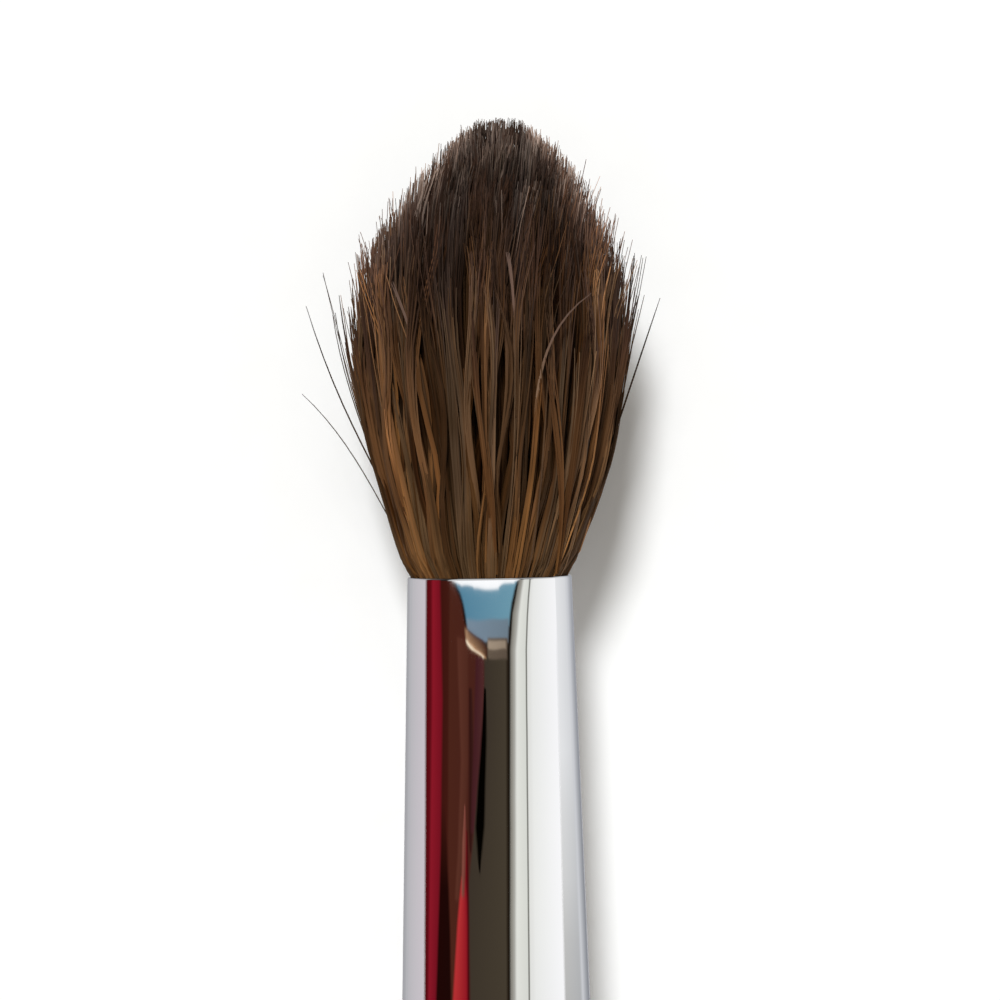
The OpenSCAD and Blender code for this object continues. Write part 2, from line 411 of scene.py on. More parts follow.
# The head of hair: hairs gather in wisps, wisps in locks. A hair's way has this many sections
HAIR_COUNT = 8000
WISPS, LOCKS = 660, 90
SECTIONS = 12
SECTION_POWER = 1.1
ROOT_DEPTH = 0.9 * MM
ROOT_SPREAD, ROOT_POWER = 0.985, 0.56
LAYERS = ("hair_core", "hair_inner", "hair_middle", "hair_outer")
LAYER_SHARES = (0.45, 0.68, 0.86)

# Radius of a hair and of its tip, and shares of it: by hair, in the fuzz, in the middle and at the root
HAIR_R, TIP_R = 0.053 * MM, 0.014 * MM
THINNEST, THICKEST = 0.72, 1.12
FUZZ_THICK = 0.55
MIDDLE_SHARE, MIDDLE_THICK = 0.35, 1.3
ROOT_THICK, FULL_THICK_AT = 0.72, 0.35
TAPER_LATE, TAPER_POWER = 4, 0.8

# Outline of the head: its flare over the lip, how it spreads, and a dome blunter than the solid's
FLARE, FLARE_RISE = 0.25 * MM, 0.3 * MM
HELD_BACK = 0.22 * MM
SPREAD_SINE, SPREAD_POWER = 0.75, 0.85
DOME_ACROSS, DOME_ALONG = 1.3, 2.2
DOME_CUT = 0.1 * MM
TOP_FLAT = 0.3 * MM
dome_rise = hair_out + DOME_CUT - bulge_h

# How far wisps and locks stray from their places, and how wisps sway, as shares of the head's radius
WISP_DRIFT, LOCK_DRIFT, DRIFT_POWER = 0.078, 0.040, 1.1
WISP_SWAY, SWAY_PACE, SWAY_GROWS = 0.036, 11, 4
# A wisp draws together to a share of its width, opens again higher up, and narrows at its end
TIGHTEST, LOOSEST, DRAWN_BY = 0.34, 0.62, 4.5 * MM
OPEN_WIDTH, OPENS_AT, OPENS_OVER = 1.05, 9.5 * MM, 6 * MM
END_NARROWER, END_SHARE = 0.15, 0.3

# How much shorter than the dome hairs are, in mm: by wisp and by hair, less so in the middle of the head
WISP_SHORT, HAIR_SHORT, MOST_SHORT, MIDDLE_SHORT = 0.16, 0.65, 2.6, 0.45
# Wisps that end as stubs, from this share of the radius outwards, and hairs that end early
STUB_CHANCE, STUB_SHORT, STUBS_FROM, STUBS_OVER = 0.15, (1.0, 6.5), 0.55, 0.3
RIM_SHARE, RIM_EARLY_CHANCE, EARLY_CHANCE, EARLY_SHORT = 0.85, 0.14, 0.08, (0.5, 6.0)
FIRST_GUESS = 14 * MM
END_OVER = 0.2

# Single hairs wander from their wisp, in mm, and loose ones further
WANDER, WANDER_POWER = 0.18, 1.7
LOOSE_CHANCE, LOOSE, KEPT = 0.06, 2.4, 0.9
# Beyond the rim hairs are drawn back to this share. The fuzz at the rim splays outwards, in mm
RIM, PAST_RIM = 0.97, 0.35
FUZZ, FUZZ_FROM, FUZZ_OVER = 0.28, 0.5, 0.4
SPLAY, FUZZ_SPLAY, SPLAY_POWER, FULL_SPLAY_H = 0.08, (0.15, 0.85), 4, 14 * MM
LEAST_OUT = 0.3
LEAST_HEAD_R = 1.5 * MM

# Strands are shaded as round, turned a little to the light, with some shading of each hair's own
STRAND_TURN, STEEPEST = 1.1, 0.95
UP_TURN = 1.1
OWN_SHADING = 0.15

# Values along the head: at the mouth, then steps as (start, stretch, change), in mm of height
LEAN = (0, (0, 5, 0.16), (11.5, 4, 0.20), (15, 3.5, 0.38))
CONTRAST = (0.7, (0, 2.5, 0.55), (4, 4, -0.25))
CONTRAST_KEPT = (1, (11, 5, -0.52))
# The rows below put painted light and shade into the hairs' tone: deeper hairs, the right side, a darker
# band, the free top and the pale, glowing tips
LIGHT_UNDER = (-0.15, (9, 5, 0.40))
LIGHT_RIGHT = (1.25, (11, 3, -0.5))
PAINTED_SHADE_BAND = (0, (4, 3, 0.20))
FREE_TOP = (0, (17.5, 1.5, 0.35))
PALE_END_AND_GLOW_KEPT = (0.35, (11.5, 3.5, 0.65))
FUZZ_GLOW_KEPT = (0.5, (11.5, 3.5, 0.5))

# Tones: how far locks, wisps and hairs differ, and the waves of tone along a wisp, as pace and strength
LOCK_TONE, WISP_TONE = 0.24, 0.37
HAIR_TONE, LOW_HAIR_TONE, LOW_TONE_TO = 0.04, 0.17, 7 * MM
TONE_WAVES = ((0.7, 0.18), (1.9, 0.12))
OWN_PACE = (0.7, 1.3)
DARKEST, LIGHTEST = -1.1, 0.75
# Painted light across the head, in the hairs' tone: its level, what the left side adds, and where both sides
# and the painted shade bands are
LEVEL, LIGHT_LEFT = 0.80, 0.40
LEFT_FROM, LEFT_OVER = 0.55, 0.3
RIGHT_FROM, RIGHT_OVER = 0.68, 0.2
BAND_AT, BAND_HALF = 0.5, 0.16
# Depth under the outline over which deeper hairs take painted shade, or painted light near the top
PAINTED_SHADING_DEPTH = 1.3 * MM
# Pale tips of hairs that reach the outline: how pale, and the painted glow that makes them paler where they
# stand free and in the fuzz
PALE_END, PAINTED_GLOW_FREE_END, PAINTED_GLOW_FUZZ = 0.2, 1.6, 0.9
TIP_PART, FUZZ_TIP_PART = (0.8, 0.2), (0.6, 0.3)
FREE_FROM, FREE_OVER = 0.6, 0.3
OUTLINE_SHORT, OUTLINE_OVER = 1.3, 0.8
WARMTH, WISP_WARMTH, HAIR_WARMTH = 0.50, 0.32, 0.12
WISP_EARLY_DARK, HAIR_EARLY_DARK, DARK_GROWS = 0.09, 0.04, 0.3


def eased(x):
    x = np.clip(x, 0, 1)
    return x * x * (3 - 2 * x)


def past(x, start, over):
    """Rises smoothly from 0 to 1 as x goes on from the start over a stretch."""
    return eased((x - start) / over)


def along_head(h, shape):
    """One of the values along the head, at the height h."""
    value, *steps = shape
    for start, over, change in steps:
        value = value + change * past(h, start * MM, over * MM)
    return value


def unit(vectors):
    return vectors / np.linalg.norm(vectors, axis=-1, keepdims=True)


def spread_radius(h):
    """Radius of the spreading hair at a height above the mouth, with a small flare over the lip."""
    t = np.clip(h / bulge_h, 0, 1)
    flare = FLARE * np.clip(h / FLARE_RISE, 0, 1)
    curve = SPREAD_SINE * np.sin(math.pi / 2 * t ** SPREAD_POWER) + (1 - SPREAD_SINE) * t
    return bundle_r + flare + (bulge_r - HELD_BACK - FLARE - bundle_r) * curve


def dome_height(share):
    """Height at which hair at a share of the head's radius comes out of the blunt dome."""
    full = np.power(1 - np.power(np.clip(share, 0, 1), DOME_ACROSS), 1 / DOME_ALONG)
    return np.minimum(bulge_h + dome_rise * full, hair_out - TOP_FLAT)


def dome_share(h):
    """Share of the head's radius that the dome still has at a height."""
    full = np.clip((h - bulge_h) / dome_rise, 0, 1)
    return np.power(1 - np.power(full, DOME_ALONG), 1 / DOME_ACROSS)


def disc_points(rng, count, power=0.5):
    """Random points in the unit disc, evenly spread, or denser in the middle with a power above 0.5."""
    radius, angle = rng.random(count) ** power, 2 * math.pi * rng.random(count)
    return np.stack([radius * np.cos(angle), radius * np.sin(angle)], 1)


def nearest(points, centres):
    return np.argmin(((points[:, None] - centres) ** 2).sum(2), 1)


class Wisps:
    """The wisps in which hairs gather: each hair's wisp and lock, and how the wisp runs through the head."""

    def __init__(self, rng, roots):
        at, lock_at = disc_points(rng, WISPS), disc_points(rng, LOCKS)
        self.wisp = nearest(roots, at)
        self.lock = nearest(at, lock_at)[self.wisp]
        drift = rng.normal(0, WISP_DRIFT, (WISPS, 2))
        lock_drift = rng.normal(0, LOCK_DRIFT, (LOCKS, 2))
        sway = rng.normal(0, WISP_SWAY, (WISPS, 2))
        sway_at = rng.uniform(0, 2 * math.pi, WISPS)
        tight = rng.uniform(TIGHTEST, LOOSEST, WISPS)
        self.start = at[self.wisp][:, None]
        self.away = roots[:, None] - self.start
        self.drift = drift[self.wisp][:, None]
        self.lock_drift = lock_drift[self.lock][:, None]
        self.sway = sway[self.wisp][:, None]
        self.sway_at = sway_at[self.wisp][:, None, None]
        self.tight = tight[self.wisp][:, None]

    def middle(self, h):
        """Middle of each hair's wisp in the unit disc, at heights h given as (hair, section)."""
        up = np.clip(h / hair_out, 0, None)[:, :, None]
        wave = np.sin(SWAY_PACE * up + self.sway_at) - np.sin(self.sway_at)
        drifted = self.start + self.drift * up ** DRIFT_POWER + self.lock_drift * up
        return drifted + self.sway * wave * eased(up * SWAY_GROWS)

    def width(self, h):
        """Share of its first width that each hair's wisp keeps at those heights."""
        drawn = 1 - (1 - self.tight) * past(h, 0, DRAWN_BY)
        return (drawn + (OPEN_WIDTH - drawn) * past(h, OPENS_AT, OPENS_OVER))[:, :, None]


def hair_ends(rng, wisps):
    """Each hair's share of the head's radius, mm short of the dome, whether it ends early, and its end."""
    count = len(wisps.wisp)
    # A hair's share depends on the height of the dome there, so both are found in two rounds from a guess
    high = np.full((count, 1), FIRST_GUESS)
    for _ in range(2):
        share = np.linalg.norm((wisps.middle(high) + wisps.away * wisps.width(high))[:, 0], axis=1)
        high = dome_height(share)[:, None]
    shorter = np.abs(rng.normal(0, WISP_SHORT, WISPS))[wisps.wisp]
    shorter = shorter + np.minimum(rng.exponential(HAIR_SHORT, count), MOST_SHORT)
    shorter = shorter * (MIDDLE_SHORT + (1 - MIDDLE_SHORT) * np.minimum(share, 1))
    stub = (rng.random(WISPS) < STUB_CHANCE) * rng.uniform(*STUB_SHORT, WISPS)
    shorter = shorter + stub[wisps.wisp] * past(share, STUBS_FROM, STUBS_OVER)
    early = rng.random(count) < np.where(share > RIM_SHARE, RIM_EARLY_CHANCE, EARLY_CHANCE)
    shorter = shorter + early * rng.uniform(*EARLY_SHORT, count)
    return share, shorter, early, dome_height(share) + (END_OVER - shorter) * MM


def hair_paths(rng, roots):
    """Places along each hair, as (hair, section, xyz), and what else its mesh and looks need."""
    count = len(roots)
    wisps = Wisps(rng, roots)
    share, shorter, early, end_h = hair_ends(rng, wisps)
    t = np.linspace(0, 1, SECTIONS + 1)[None] ** SECTION_POWER
    h = -ROOT_DEPTH + (end_h[:, None] + ROOT_DEPTH) * t

    # Places across the head as shares of its radius, then in metres
    width = wisps.width(h) * (1 - END_NARROWER * past(t, 1 - END_SHARE, END_SHARE))[:, :, None]
    place = wisps.middle(h) + wisps.away * width
    out = np.linalg.norm(place, axis=2, keepdims=True)
    place = place * np.where(out > RIM, (RIM + PAST_RIM * (out - RIM)) / out, 1)
    across = place * spread_radius(h)[:, :, None]
    up = np.clip(h / hair_out, 0, None)[:, :, None]
    loose = np.where(early | (rng.random(count) < LOOSE_CHANCE), LOOSE, KEPT)[:, None, None]
    across = across + loose * rng.normal(0, WANDER, (count, 1, 2)) * MM * up ** WANDER_POWER
    fuzz = rng.random(count) < FUZZ * past(share, FUZZ_FROM, FUZZ_OVER)
    splay = np.abs(rng.normal(0, SPLAY, count)) + fuzz * rng.uniform(*FUZZ_SPLAY, count)
    splay = splay * past(end_h, 0, FULL_SPLAY_H) ** 2
    outward = place / np.maximum(out, LEAST_OUT)
    across = across + outward * (splay[:, None] * t ** SPLAY_POWER)[:, :, None] * MM

    # Where that is in the head, for the looks, and in the world
    head_r = dome_share(h) * spread_radius(h)
    depth = (head_r - np.linalg.norm(across, axis=2)) / PAINTED_SHADING_DEPTH
    sideways = across[:, :, 0] / np.maximum(head_r, LEAST_HEAD_R)
    across[:, :, 0] += MM * along_head(h, LEAN)
    xyz = np.stack([across[:, :, 0], mouth_y + h, axis_z + across[:, :, 1]], 2)
    facing = strand_sides(wisps.away, place, out)
    looks = hair_looks(rng, wisps, h, t, sideways, depth, shorter, fuzz)
    return press_on_table(xyz), t * np.ones((count, 1)), looks, facing, share, fuzz


def strand_sides(away, place, out):
    """The outer side of each hair's strand at its sections, as if every wisp were one round strand."""
    off = away * math.sqrt(WISPS) / STRAND_TURN
    off = off / np.maximum(np.linalg.norm(off, axis=2, keepdims=True) / STEEPEST, 1)
    side = place / np.maximum(out, 1e-6) * np.sqrt(1 - (off ** 2).sum(2, keepdims=True)) + off
    facing = np.stack([side[:, :, 0], np.zeros(side.shape[:2]), side[:, :, 1] + UP_TURN], 2)
    return unit(facing)


def hair_looks(rng, wisps, h, t, sideways, depth, shorter, fuzz):
    """Tone at each section of each hair, painted light and shade included, and each hair's warmth and how
    much earlier it turns dark.

    A section's place is given as height h, share t of the hair's length, share of the head's radius to the
    right (sideways), and depth under the outline.
    """
    wisp, count = wisps.wisp, len(wisps.wisp)
    tone = LOCK_TONE * rng.normal(0, 1, LOCKS)[wisps.lock] + WISP_TONE * rng.normal(0, 1, WISPS)[wisp]
    own = HAIR_TONE + LOW_HAIR_TONE * (1 - past(h, 0, LOW_TONE_TO))
    tone = tone[:, None] + own * rng.normal(0, 1, count)[:, None]
    for pace, strength in TONE_WAVES:
        own_pace = rng.uniform(*OWN_PACE, WISPS)[wisp]
        start = rng.uniform(0, 2 * math.pi, WISPS)[wisp]
        tone = tone + strength * np.sin(pace * own_pace[:, None] * h / MM + start[:, None])
    contrast = along_head(h, CONTRAST) * along_head(h, CONTRAST_KEPT)

    # Tips are a little pale, and painted light makes them paler where they stand free: at both sides, at the
    # top and in the fuzz
    free = np.maximum(past(np.abs(sideways), FREE_FROM, FREE_OVER), along_head(h, FREE_TOP))
    reaches_outline = eased((OUTLINE_SHORT - shorter) / OUTLINE_OVER)[:, None]
    pale_end_and_glow = (PALE_END + PAINTED_GLOW_FREE_END * free) * past(t, *TIP_PART) * reaches_outline
    painted_fuzz_glow = (PAINTED_GLOW_FUZZ * fuzz)[:, None] * past(t, *FUZZ_TIP_PART)
    pale = 1 + along_head(h, PALE_END_AND_GLOW_KEPT) * pale_end_and_glow + along_head(h, FUZZ_GLOW_KEPT) * painted_fuzz_glow

    # Painted light and shade: both sides lighter, the right one more, with a painted shade band inside each.
    # Deeper hairs get painted shade low in the head and painted light near the top, where light comes through
    to_left, to_right = past(-sideways, LEFT_FROM, LEFT_OVER), past(sideways, RIGHT_FROM, RIGHT_OVER)
    band = eased(1 - np.abs(np.abs(sideways) - BAND_AT) / BAND_HALF)
    painted_light = LEVEL + LIGHT_LEFT * to_left + along_head(h, LIGHT_RIGHT) * to_right
    painted_light = painted_light - along_head(h, PAINTED_SHADE_BAND) * band
    # Painted shade on deeper hairs low in the head, turning to painted light near the top
    under = 1 + along_head(h, LIGHT_UNDER) * eased(depth)

    tone = np.exp(contrast * np.clip(tone, DARKEST, LIGHTEST)) * under * painted_light * pale
    warmth = WARMTH + WISP_WARMTH * rng.normal(0, 1, WISPS)[wisp] + HAIR_WARMTH * rng.normal(0, 1, count)
    early_dark = WISP_EARLY_DARK * rng.normal(0, 1, WISPS)[wisp] + HAIR_EARLY_DARK * rng.normal(0, 1, count)
    return tone, np.clip(warmth, 0, 1), early_dark


PRESSED_BELOW = 0.9 * MM


def press_on_table(xyz):
    """Hair that would reach into the table is pressed flat just above it."""
    z, soft = xyz[:, :, 2], PRESSED_BELOW
    xyz[:, :, 2] = np.where(z < soft, soft * np.exp(np.minimum((z - soft) / soft, 0)), z)
    return xyz


# Sides of a fibre, and a direction in which no hair runs
SIDES = 3
SKEW = (0.31, 0.11, 0.94)


def fibres(name, xyz, along, tones, warmths, early_dark, radius, facing):
    """One mesh of tapered fibres along the paths, with the attributes that the hair material reads.

    Facing is the outer side of each fibre's strand, so that fibres are shaded mostly as one strand.
    """
    count, rings, _ = xyz.shape
    ahead = unit(np.gradient(xyz, axis=1))
    side = unit(np.cross(ahead, SKEW))
    other = np.cross(ahead, side)
    belly = ROOT_THICK + (1 - ROOT_THICK) * eased(along / FULL_THICK_AT)
    taper = np.clip(1 - along ** TAPER_LATE, 0, 1) ** TAPER_POWER
    thick = (TIP_R + (radius[:, None] - TIP_R) * taper * belly)[:, :, None, None]
    angles = [2 * math.pi * k / SIDES for k in range(SIDES)]
    around = np.stack([math.cos(a) * side + math.sin(a) * other for a in angles], 2)
    vertices = (xyz[:, :, None] + thick * around).reshape(-1, 3)

    start = np.arange(count)[:, None, None] * rings * SIDES
    ring = np.arange(rings - 1)[:, None] * SIDES
    k = np.arange(SIDES)
    here, there = start + ring + k, start + ring + (k + 1) % SIDES
    quads = np.stack([here, there, there + SIDES, here + SIDES], -1).reshape(-1, 4)
    end = (np.arange(count) * rings * SIDES + (rings - 1) * SIDES)[:, None]
    caps = end + np.arange(SIDES)
    piece = mesh_object(name, vertices.tolist(), quads.tolist() + caps.tolist())

    rise = (xyz[:, :, 1] - mouth_y) / hair_out + early_dark[:, None] * eased(along / DARK_GROWS)
    for key, values in (("rise", rise), ("tone", tones), ("warmth", warmths[:, None] * np.ones_like(along))):
        layer = piece.data.attributes.new(key, "FLOAT", "POINT")
        layer.data.foreach_set("value", np.repeat(values.reshape(-1), SIDES).astype(np.float32))
    lay_out_strips(piece, count, rings)
    normals = unit(OWN_SHADING * around + (1 - OWN_SHADING) * facing[:, :, None])
    piece.data.normals_split_custom_set_from_vertices(normals.reshape(-1, 3).tolist())
    return piece


# A fibre's strip in the UV map: how much taller than wide it is, and where its faces and its cap lie in it
STRIP_TALL = 4
STRIP_U = (0.15, 0.85, 0.85, 0.15)
STRIP_V, STRIP_V_LEN = 0.03, 0.94
CAP_U = (0.2, 0.5, 0.8)
CAP_V = (0.972, 0.985, 0.972)


def lay_out_strips(piece, count, rings):
    """A UV map in which each fibre has an upright strip of its own."""
    columns = max(1, math.ceil(math.sqrt(count * STRIP_TALL)))
    rows = math.ceil(count / columns)
    uv = piece.data.uv_layers.new(name="OFBake")
    n = np.arange(count)
    column, row = n % columns, n // columns
    ring = np.arange(rings - 1)
    low = (row[:, None] + STRIP_V + STRIP_V_LEN * ring / (rings - 1)) / rows
    high = (row[:, None] + STRIP_V + STRIP_V_LEN * (ring + 1) / (rings - 1)) / rows
    u = (column[:, None] + np.array(STRIP_U)) / columns
    quads = np.zeros((count, rings - 1, SIDES, 4, 2))
    quads[..., 0] = u[:, None, None, :]
    quads[..., 0:2, 1] = low[:, :, None, None]
    quads[..., 2:4, 1] = high[:, :, None, None]
    caps = np.zeros((count, SIDES, 2))
    caps[..., 0] = (column[:, None] + np.array(CAP_U)) / columns
    caps[..., 1] = (row[:, None] + np.array(CAP_V)) / rows
    values = np.concatenate([quads.reshape(-1, 2), caps.reshape(-1, 2)]).astype(np.float32)
    uv.uv.foreach_set("vector", values.reshape(-1))


def finish_hair(piece, material):
    set_material(piece, material)
    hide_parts("hair_tuft")
    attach(piece, "root")


def make_hair(material):
    """The head of hair in four layers, from the middle outwards, in place of the CAD tuft."""
    rng = np.random.default_rng(11)
    roots = ROOT_SPREAD * disc_points(rng, HAIR_COUNT, ROOT_POWER)
    xyz, along, looks, facing, share, fuzz = hair_paths(rng, roots)
    radius = HAIR_R * rng.uniform(THINNEST, THICKEST, HAIR_COUNT)
    radius = radius * np.where(fuzz, FUZZ_THICK, 1) * np.where(share < MIDDLE_SHARE, MIDDLE_THICK, 1)
    layer = np.digitize(share, LAYER_SHARES)
    for number, name in enumerate(LAYERS):
        mine = layer == number
        looks_here = [look[mine] for look in looks]
        finish_hair(fibres(name, xyz[mine], along[mine], *looks_here, radius[mine], facing[mine]), material)


# Single hairs and small tufts that the photograph shows: four Bezier points as px, py and height in mm, then
# number of hairs, spread in mm, thickness as a share of the others', tone and warmth
STRAYS = (
    (((424, 572, 5.8), (380, 470, 6.3), (342, 424, 6.5), (306, 306, 5.6)), 1, 0, 0.85, 0.05, 0.2),
    (((418, 572, 5.6), (378, 500, 5.9), (352, 440, 6.2), (302, 394, 5.2)), 1, 0, 0.6, 0.3, 0.1),
    (((566, 572, 5.8), (600, 480, 6.2), (622, 410, 6.4), (660, 298, 6.2)), 1, 0, 1.1, 0.05, 0.2),
    (((419, 572, 6.0), (380, 470, 6.4), (350, 400, 6.6), (340, 296, 6.5)), 6, 0.09, 1.1, 0.7, 0.9),
    (((419, 572, 6.0), (376, 470, 6.2), (344, 390, 6.2), (334, 314, 6.0)), 2, 0.06, 0.6, 0.45, 0.6),
    (((419, 572, 6.3), (381, 470, 6.7), (351, 400, 6.9), (339, 295, 6.8)), 1, 0, 1.35, 0.4, 0.5),
    (((419, 572, 6.2), (381, 470, 6.6), (352, 400, 6.8), (346, 302, 6.7)), 10, 0.12, 1.0, 0.9, 0.9),
    (((420, 572, 6.6), (384, 470, 7.1), (358, 400, 7.3), (352, 288, 7.1)), 1, 0, 1.3, 0.4, 0.4),
    (((420, 572, 6.5), (384, 470, 7.1), (358, 400, 7.3), (351, 292, 7.0)), 18, 0.16, 1.1, 0.9, 0.9),
    (((421, 572, 6.8), (387, 470, 7.6), (366, 380, 8.0), (358, 256, 7.4)), 12, 0.12, 1.0, 0.75, 0.7),
    (((421, 572, 6.0), (366, 470, 6.1), (340, 340, 6.0), (323, 272, 5.8)), 2, 0.12, 0.35, 1.2, 0.1),
    (((562, 572, 6.0), (606, 450, 6.3), (624, 370, 6.4), (634, 256, 6.4)), 3, 0.06, 0.6, 0.6, 0.3),
    (((562, 572, 5.9), (606, 450, 6.2), (624, 370, 6.2), (645, 256, 6.0)), 3, 0.05, 0.5, 0.7, 0.3),
    (((563, 572, 5.7), (604, 460, 6.0), (624, 370, 6.1), (640, 298, 6.0)), 3, 0.08, 0.7, 0.6, 0.7),
    (((563, 572, 6.0), (604, 460, 6.3), (624, 370, 6.4), (632, 262, 6.3)), 1, 0, 1.5, 0.4, 0.3),
    (((563, 572, 6.4), (602, 460, 7.0), (626, 380, 7.2), (630, 288, 7.0)), 18, 0.16, 1.1, 0.95, 0.8),
    (((562, 572, 6.8), (598, 460, 7.8), (619, 370, 8.2), (618, 238, 7.7)), 12, 0.14, 1.0, 0.8, 0.6),
    (((535, 455, 9.4), (534, 395, 11.0), (538, 330, 12.2), (590, 295, 10.9)), 2, 0.03, 1.2, 3.0, 0.0),
    (((424, 380, 8.6), (416, 345, 9.9), (407, 318, 11.1), (391, 282, 10.3)), 2, 0.03, 1.4, 3.4, 0.0),
    (((515, 322, 9.6), (514, 305, 10.9), (512, 283, 11.75), (508, 253, 11.45)), 3, 0.03, 1.1, 4.2, 0.15),
    (((556, 573, 7.9), (566, 500, 9.6), (560, 430, 10.9), (543, 348, 11.5)), 12, 0.14, 0.9, 0.65, 1.0),
    (((496, 573, 9.0), (495, 530, 10.3), (490, 490, 11.0), (487, 436, 11.3)), 10, 0.11, 0.9, 0.55, 1.0),
    (((497, 573, 9.0), (485, 450, 11.6), (472, 390, 12.1), (473, 288, 11.8)), 12, 0.12, 0.9, 0.55, 1.0),
    (((556, 573, 7.9), (574, 470, 9.9), (584, 380, 10.7), (594, 290, 9.9)), 12, 0.15, 0.9, 0.35, 0.8),
    (((562, 573, 6.4), (596, 500, 7.4), (612, 420, 8.2), (619, 340, 8.6)), 14, 0.14, 0.9, 0.55, 0.7),
    (((418, 573, 6.4), (385, 500, 7.4), (368, 430, 8.1), (362, 350, 8.5)), 14, 0.12, 0.9, 0.65, 1.0),
)

# How far a tuft's hairs spread at the four points, and the most hairs that all run to the end of their way
SPREAD_ALONG = ((0.2,), (0.6,), (1.0,), (1.3,))
FULL_LENGTH_UP_TO = 4
LEAST_REACH = 0.7
THINNEST_STRAY = 0.85
STRAY_TONE, STRAY_TONE_GAIN, STRAY_TONE_SPREAD, MOST_STRAY_TONE = 0.28, 1.16, 0.10, 5
STRAY_EARLY_DARK = 0.15


def bezier(t):
    """Weights of a curve's four points at the given shares of its length."""
    return np.stack([(1 - t) ** 3, 3 * (1 - t) ** 2 * t, 3 * (1 - t) * t ** 2, t ** 3], 1)


def make_strays(material):
    """Single hairs and small tufts that leave the head."""
    rng = np.random.default_rng(5)
    t = np.linspace(0, 1, SECTIONS + 1)
    paths, radius, tones, warmths = [], [], [], []
    for points, hairs, spread, thick, tone, warmth in STRAYS:
        middle = np.array([photo_point(px, py, z * MM) for px, py, z in points])
        for _ in range(hairs):
            shift = rng.normal(0, 1, (4, 3)) * spread * MM * np.array(SPREAD_ALONG)
            reach = rng.uniform(LEAST_REACH, 1) if hairs > FULL_LENGTH_UP_TO else 1
            paths.append(bezier(t * reach) @ (middle + shift))
            radius.append(HAIR_R * thick * rng.uniform(THINNEST_STRAY, 1))
            own_tone = np.clip(tone + STRAY_TONE_SPREAD * rng.normal(), 0, MOST_STRAY_TONE)
            tones.append(STRAY_TONE + STRAY_TONE_GAIN * own_tone)
            warmths.append(warmth)
    along = t * np.ones((len(paths), 1))
    tones = np.array(tones)[:, None] * np.ones_like(along)
    early_dark = np.full(len(paths), STRAY_EARLY_DARK)
    facing = np.zeros((len(paths), SECTIONS + 1, 3)) + (0, 0, 1)
    looks = tones, np.array(warmths), early_dark
    piece = fibres("hair_strays", np.array(paths), along, *looks, np.array(radius), facing)
    finish_hair(piece, material)


FLOOR_HALF = 1.5
FLOOR_LIFT = 0.07


def make_stage():
    """A white paper floor that keeps the shadow, and is a little brighter to the camera."""
    half = FLOOR_HALF
    corners = [(-half, -half, 0), (half, -half, 0), (half, half, 0), (-half, half, 0)]
    floor = mesh_object("stage_floor", corners, [(0, 1, 2, 3)], smooth=False)
    material, n = new_material("stage_paper")
    path = n.add("LightPath")
    lift = n.math("MULTIPLY", path.outputs["Is Camera Ray"], FLOOR_LIFT)
    glow = n.add("Emission", {"Color": (1, 1, 1, 1), "Strength": lift})
    tint = n.mix(n.noise(n.place(), 500, 4), (0.92, 0.92, 0.91, 1), (0.96, 0.96, 0.955, 1))
    paper = n.add("BsdfDiffuse", {"Color": tint})
    n.output(n.add("AddShader", {0: paper.outputs[0], 1: glow.outputs[0]}).outputs[0])
    set_material(floor, material)


SPOT_ROUNDS = 30


def reflected_place(px, py, away=None, level=0):
    """Where the mirror-bright ferrule, seen at a pixel of the photograph, reflects to.

    The place is at a distance away from the brush's axis or, without one, at a level just above the floor.
    """
    z = axis_z + mouth_r
    widening = (ferrule_end_r - mouth_r) / ferrule_len
    for _ in range(SPOT_ROUNDS):
        spot = photo_point(px, py, z)
        radius = mouth_r + widening * (mouth_y - spot.y)
        z = axis_z + math.sqrt(max(radius ** 2 - spot.x ** 2, 0))
    normal = Vector((spot.x / radius, widening, (z - axis_z) / radius)).normalized()
    ray = (spot - camera_place()).normalized().reflect(normal)
    if away is None:
        return spot + (spot.z - level) / -ray.z * ray
    flat = Vector((ray.x, 0, ray.z))
    off = Vector((spot.x, 0, spot.z - axis_z))
    half_b = off.dot(flat) / flat.length_squared
    reach = -half_b + math.sqrt(half_b ** 2 - (off.length_squared - away ** 2) / flat.length_squared)
    return spot + reach * ray


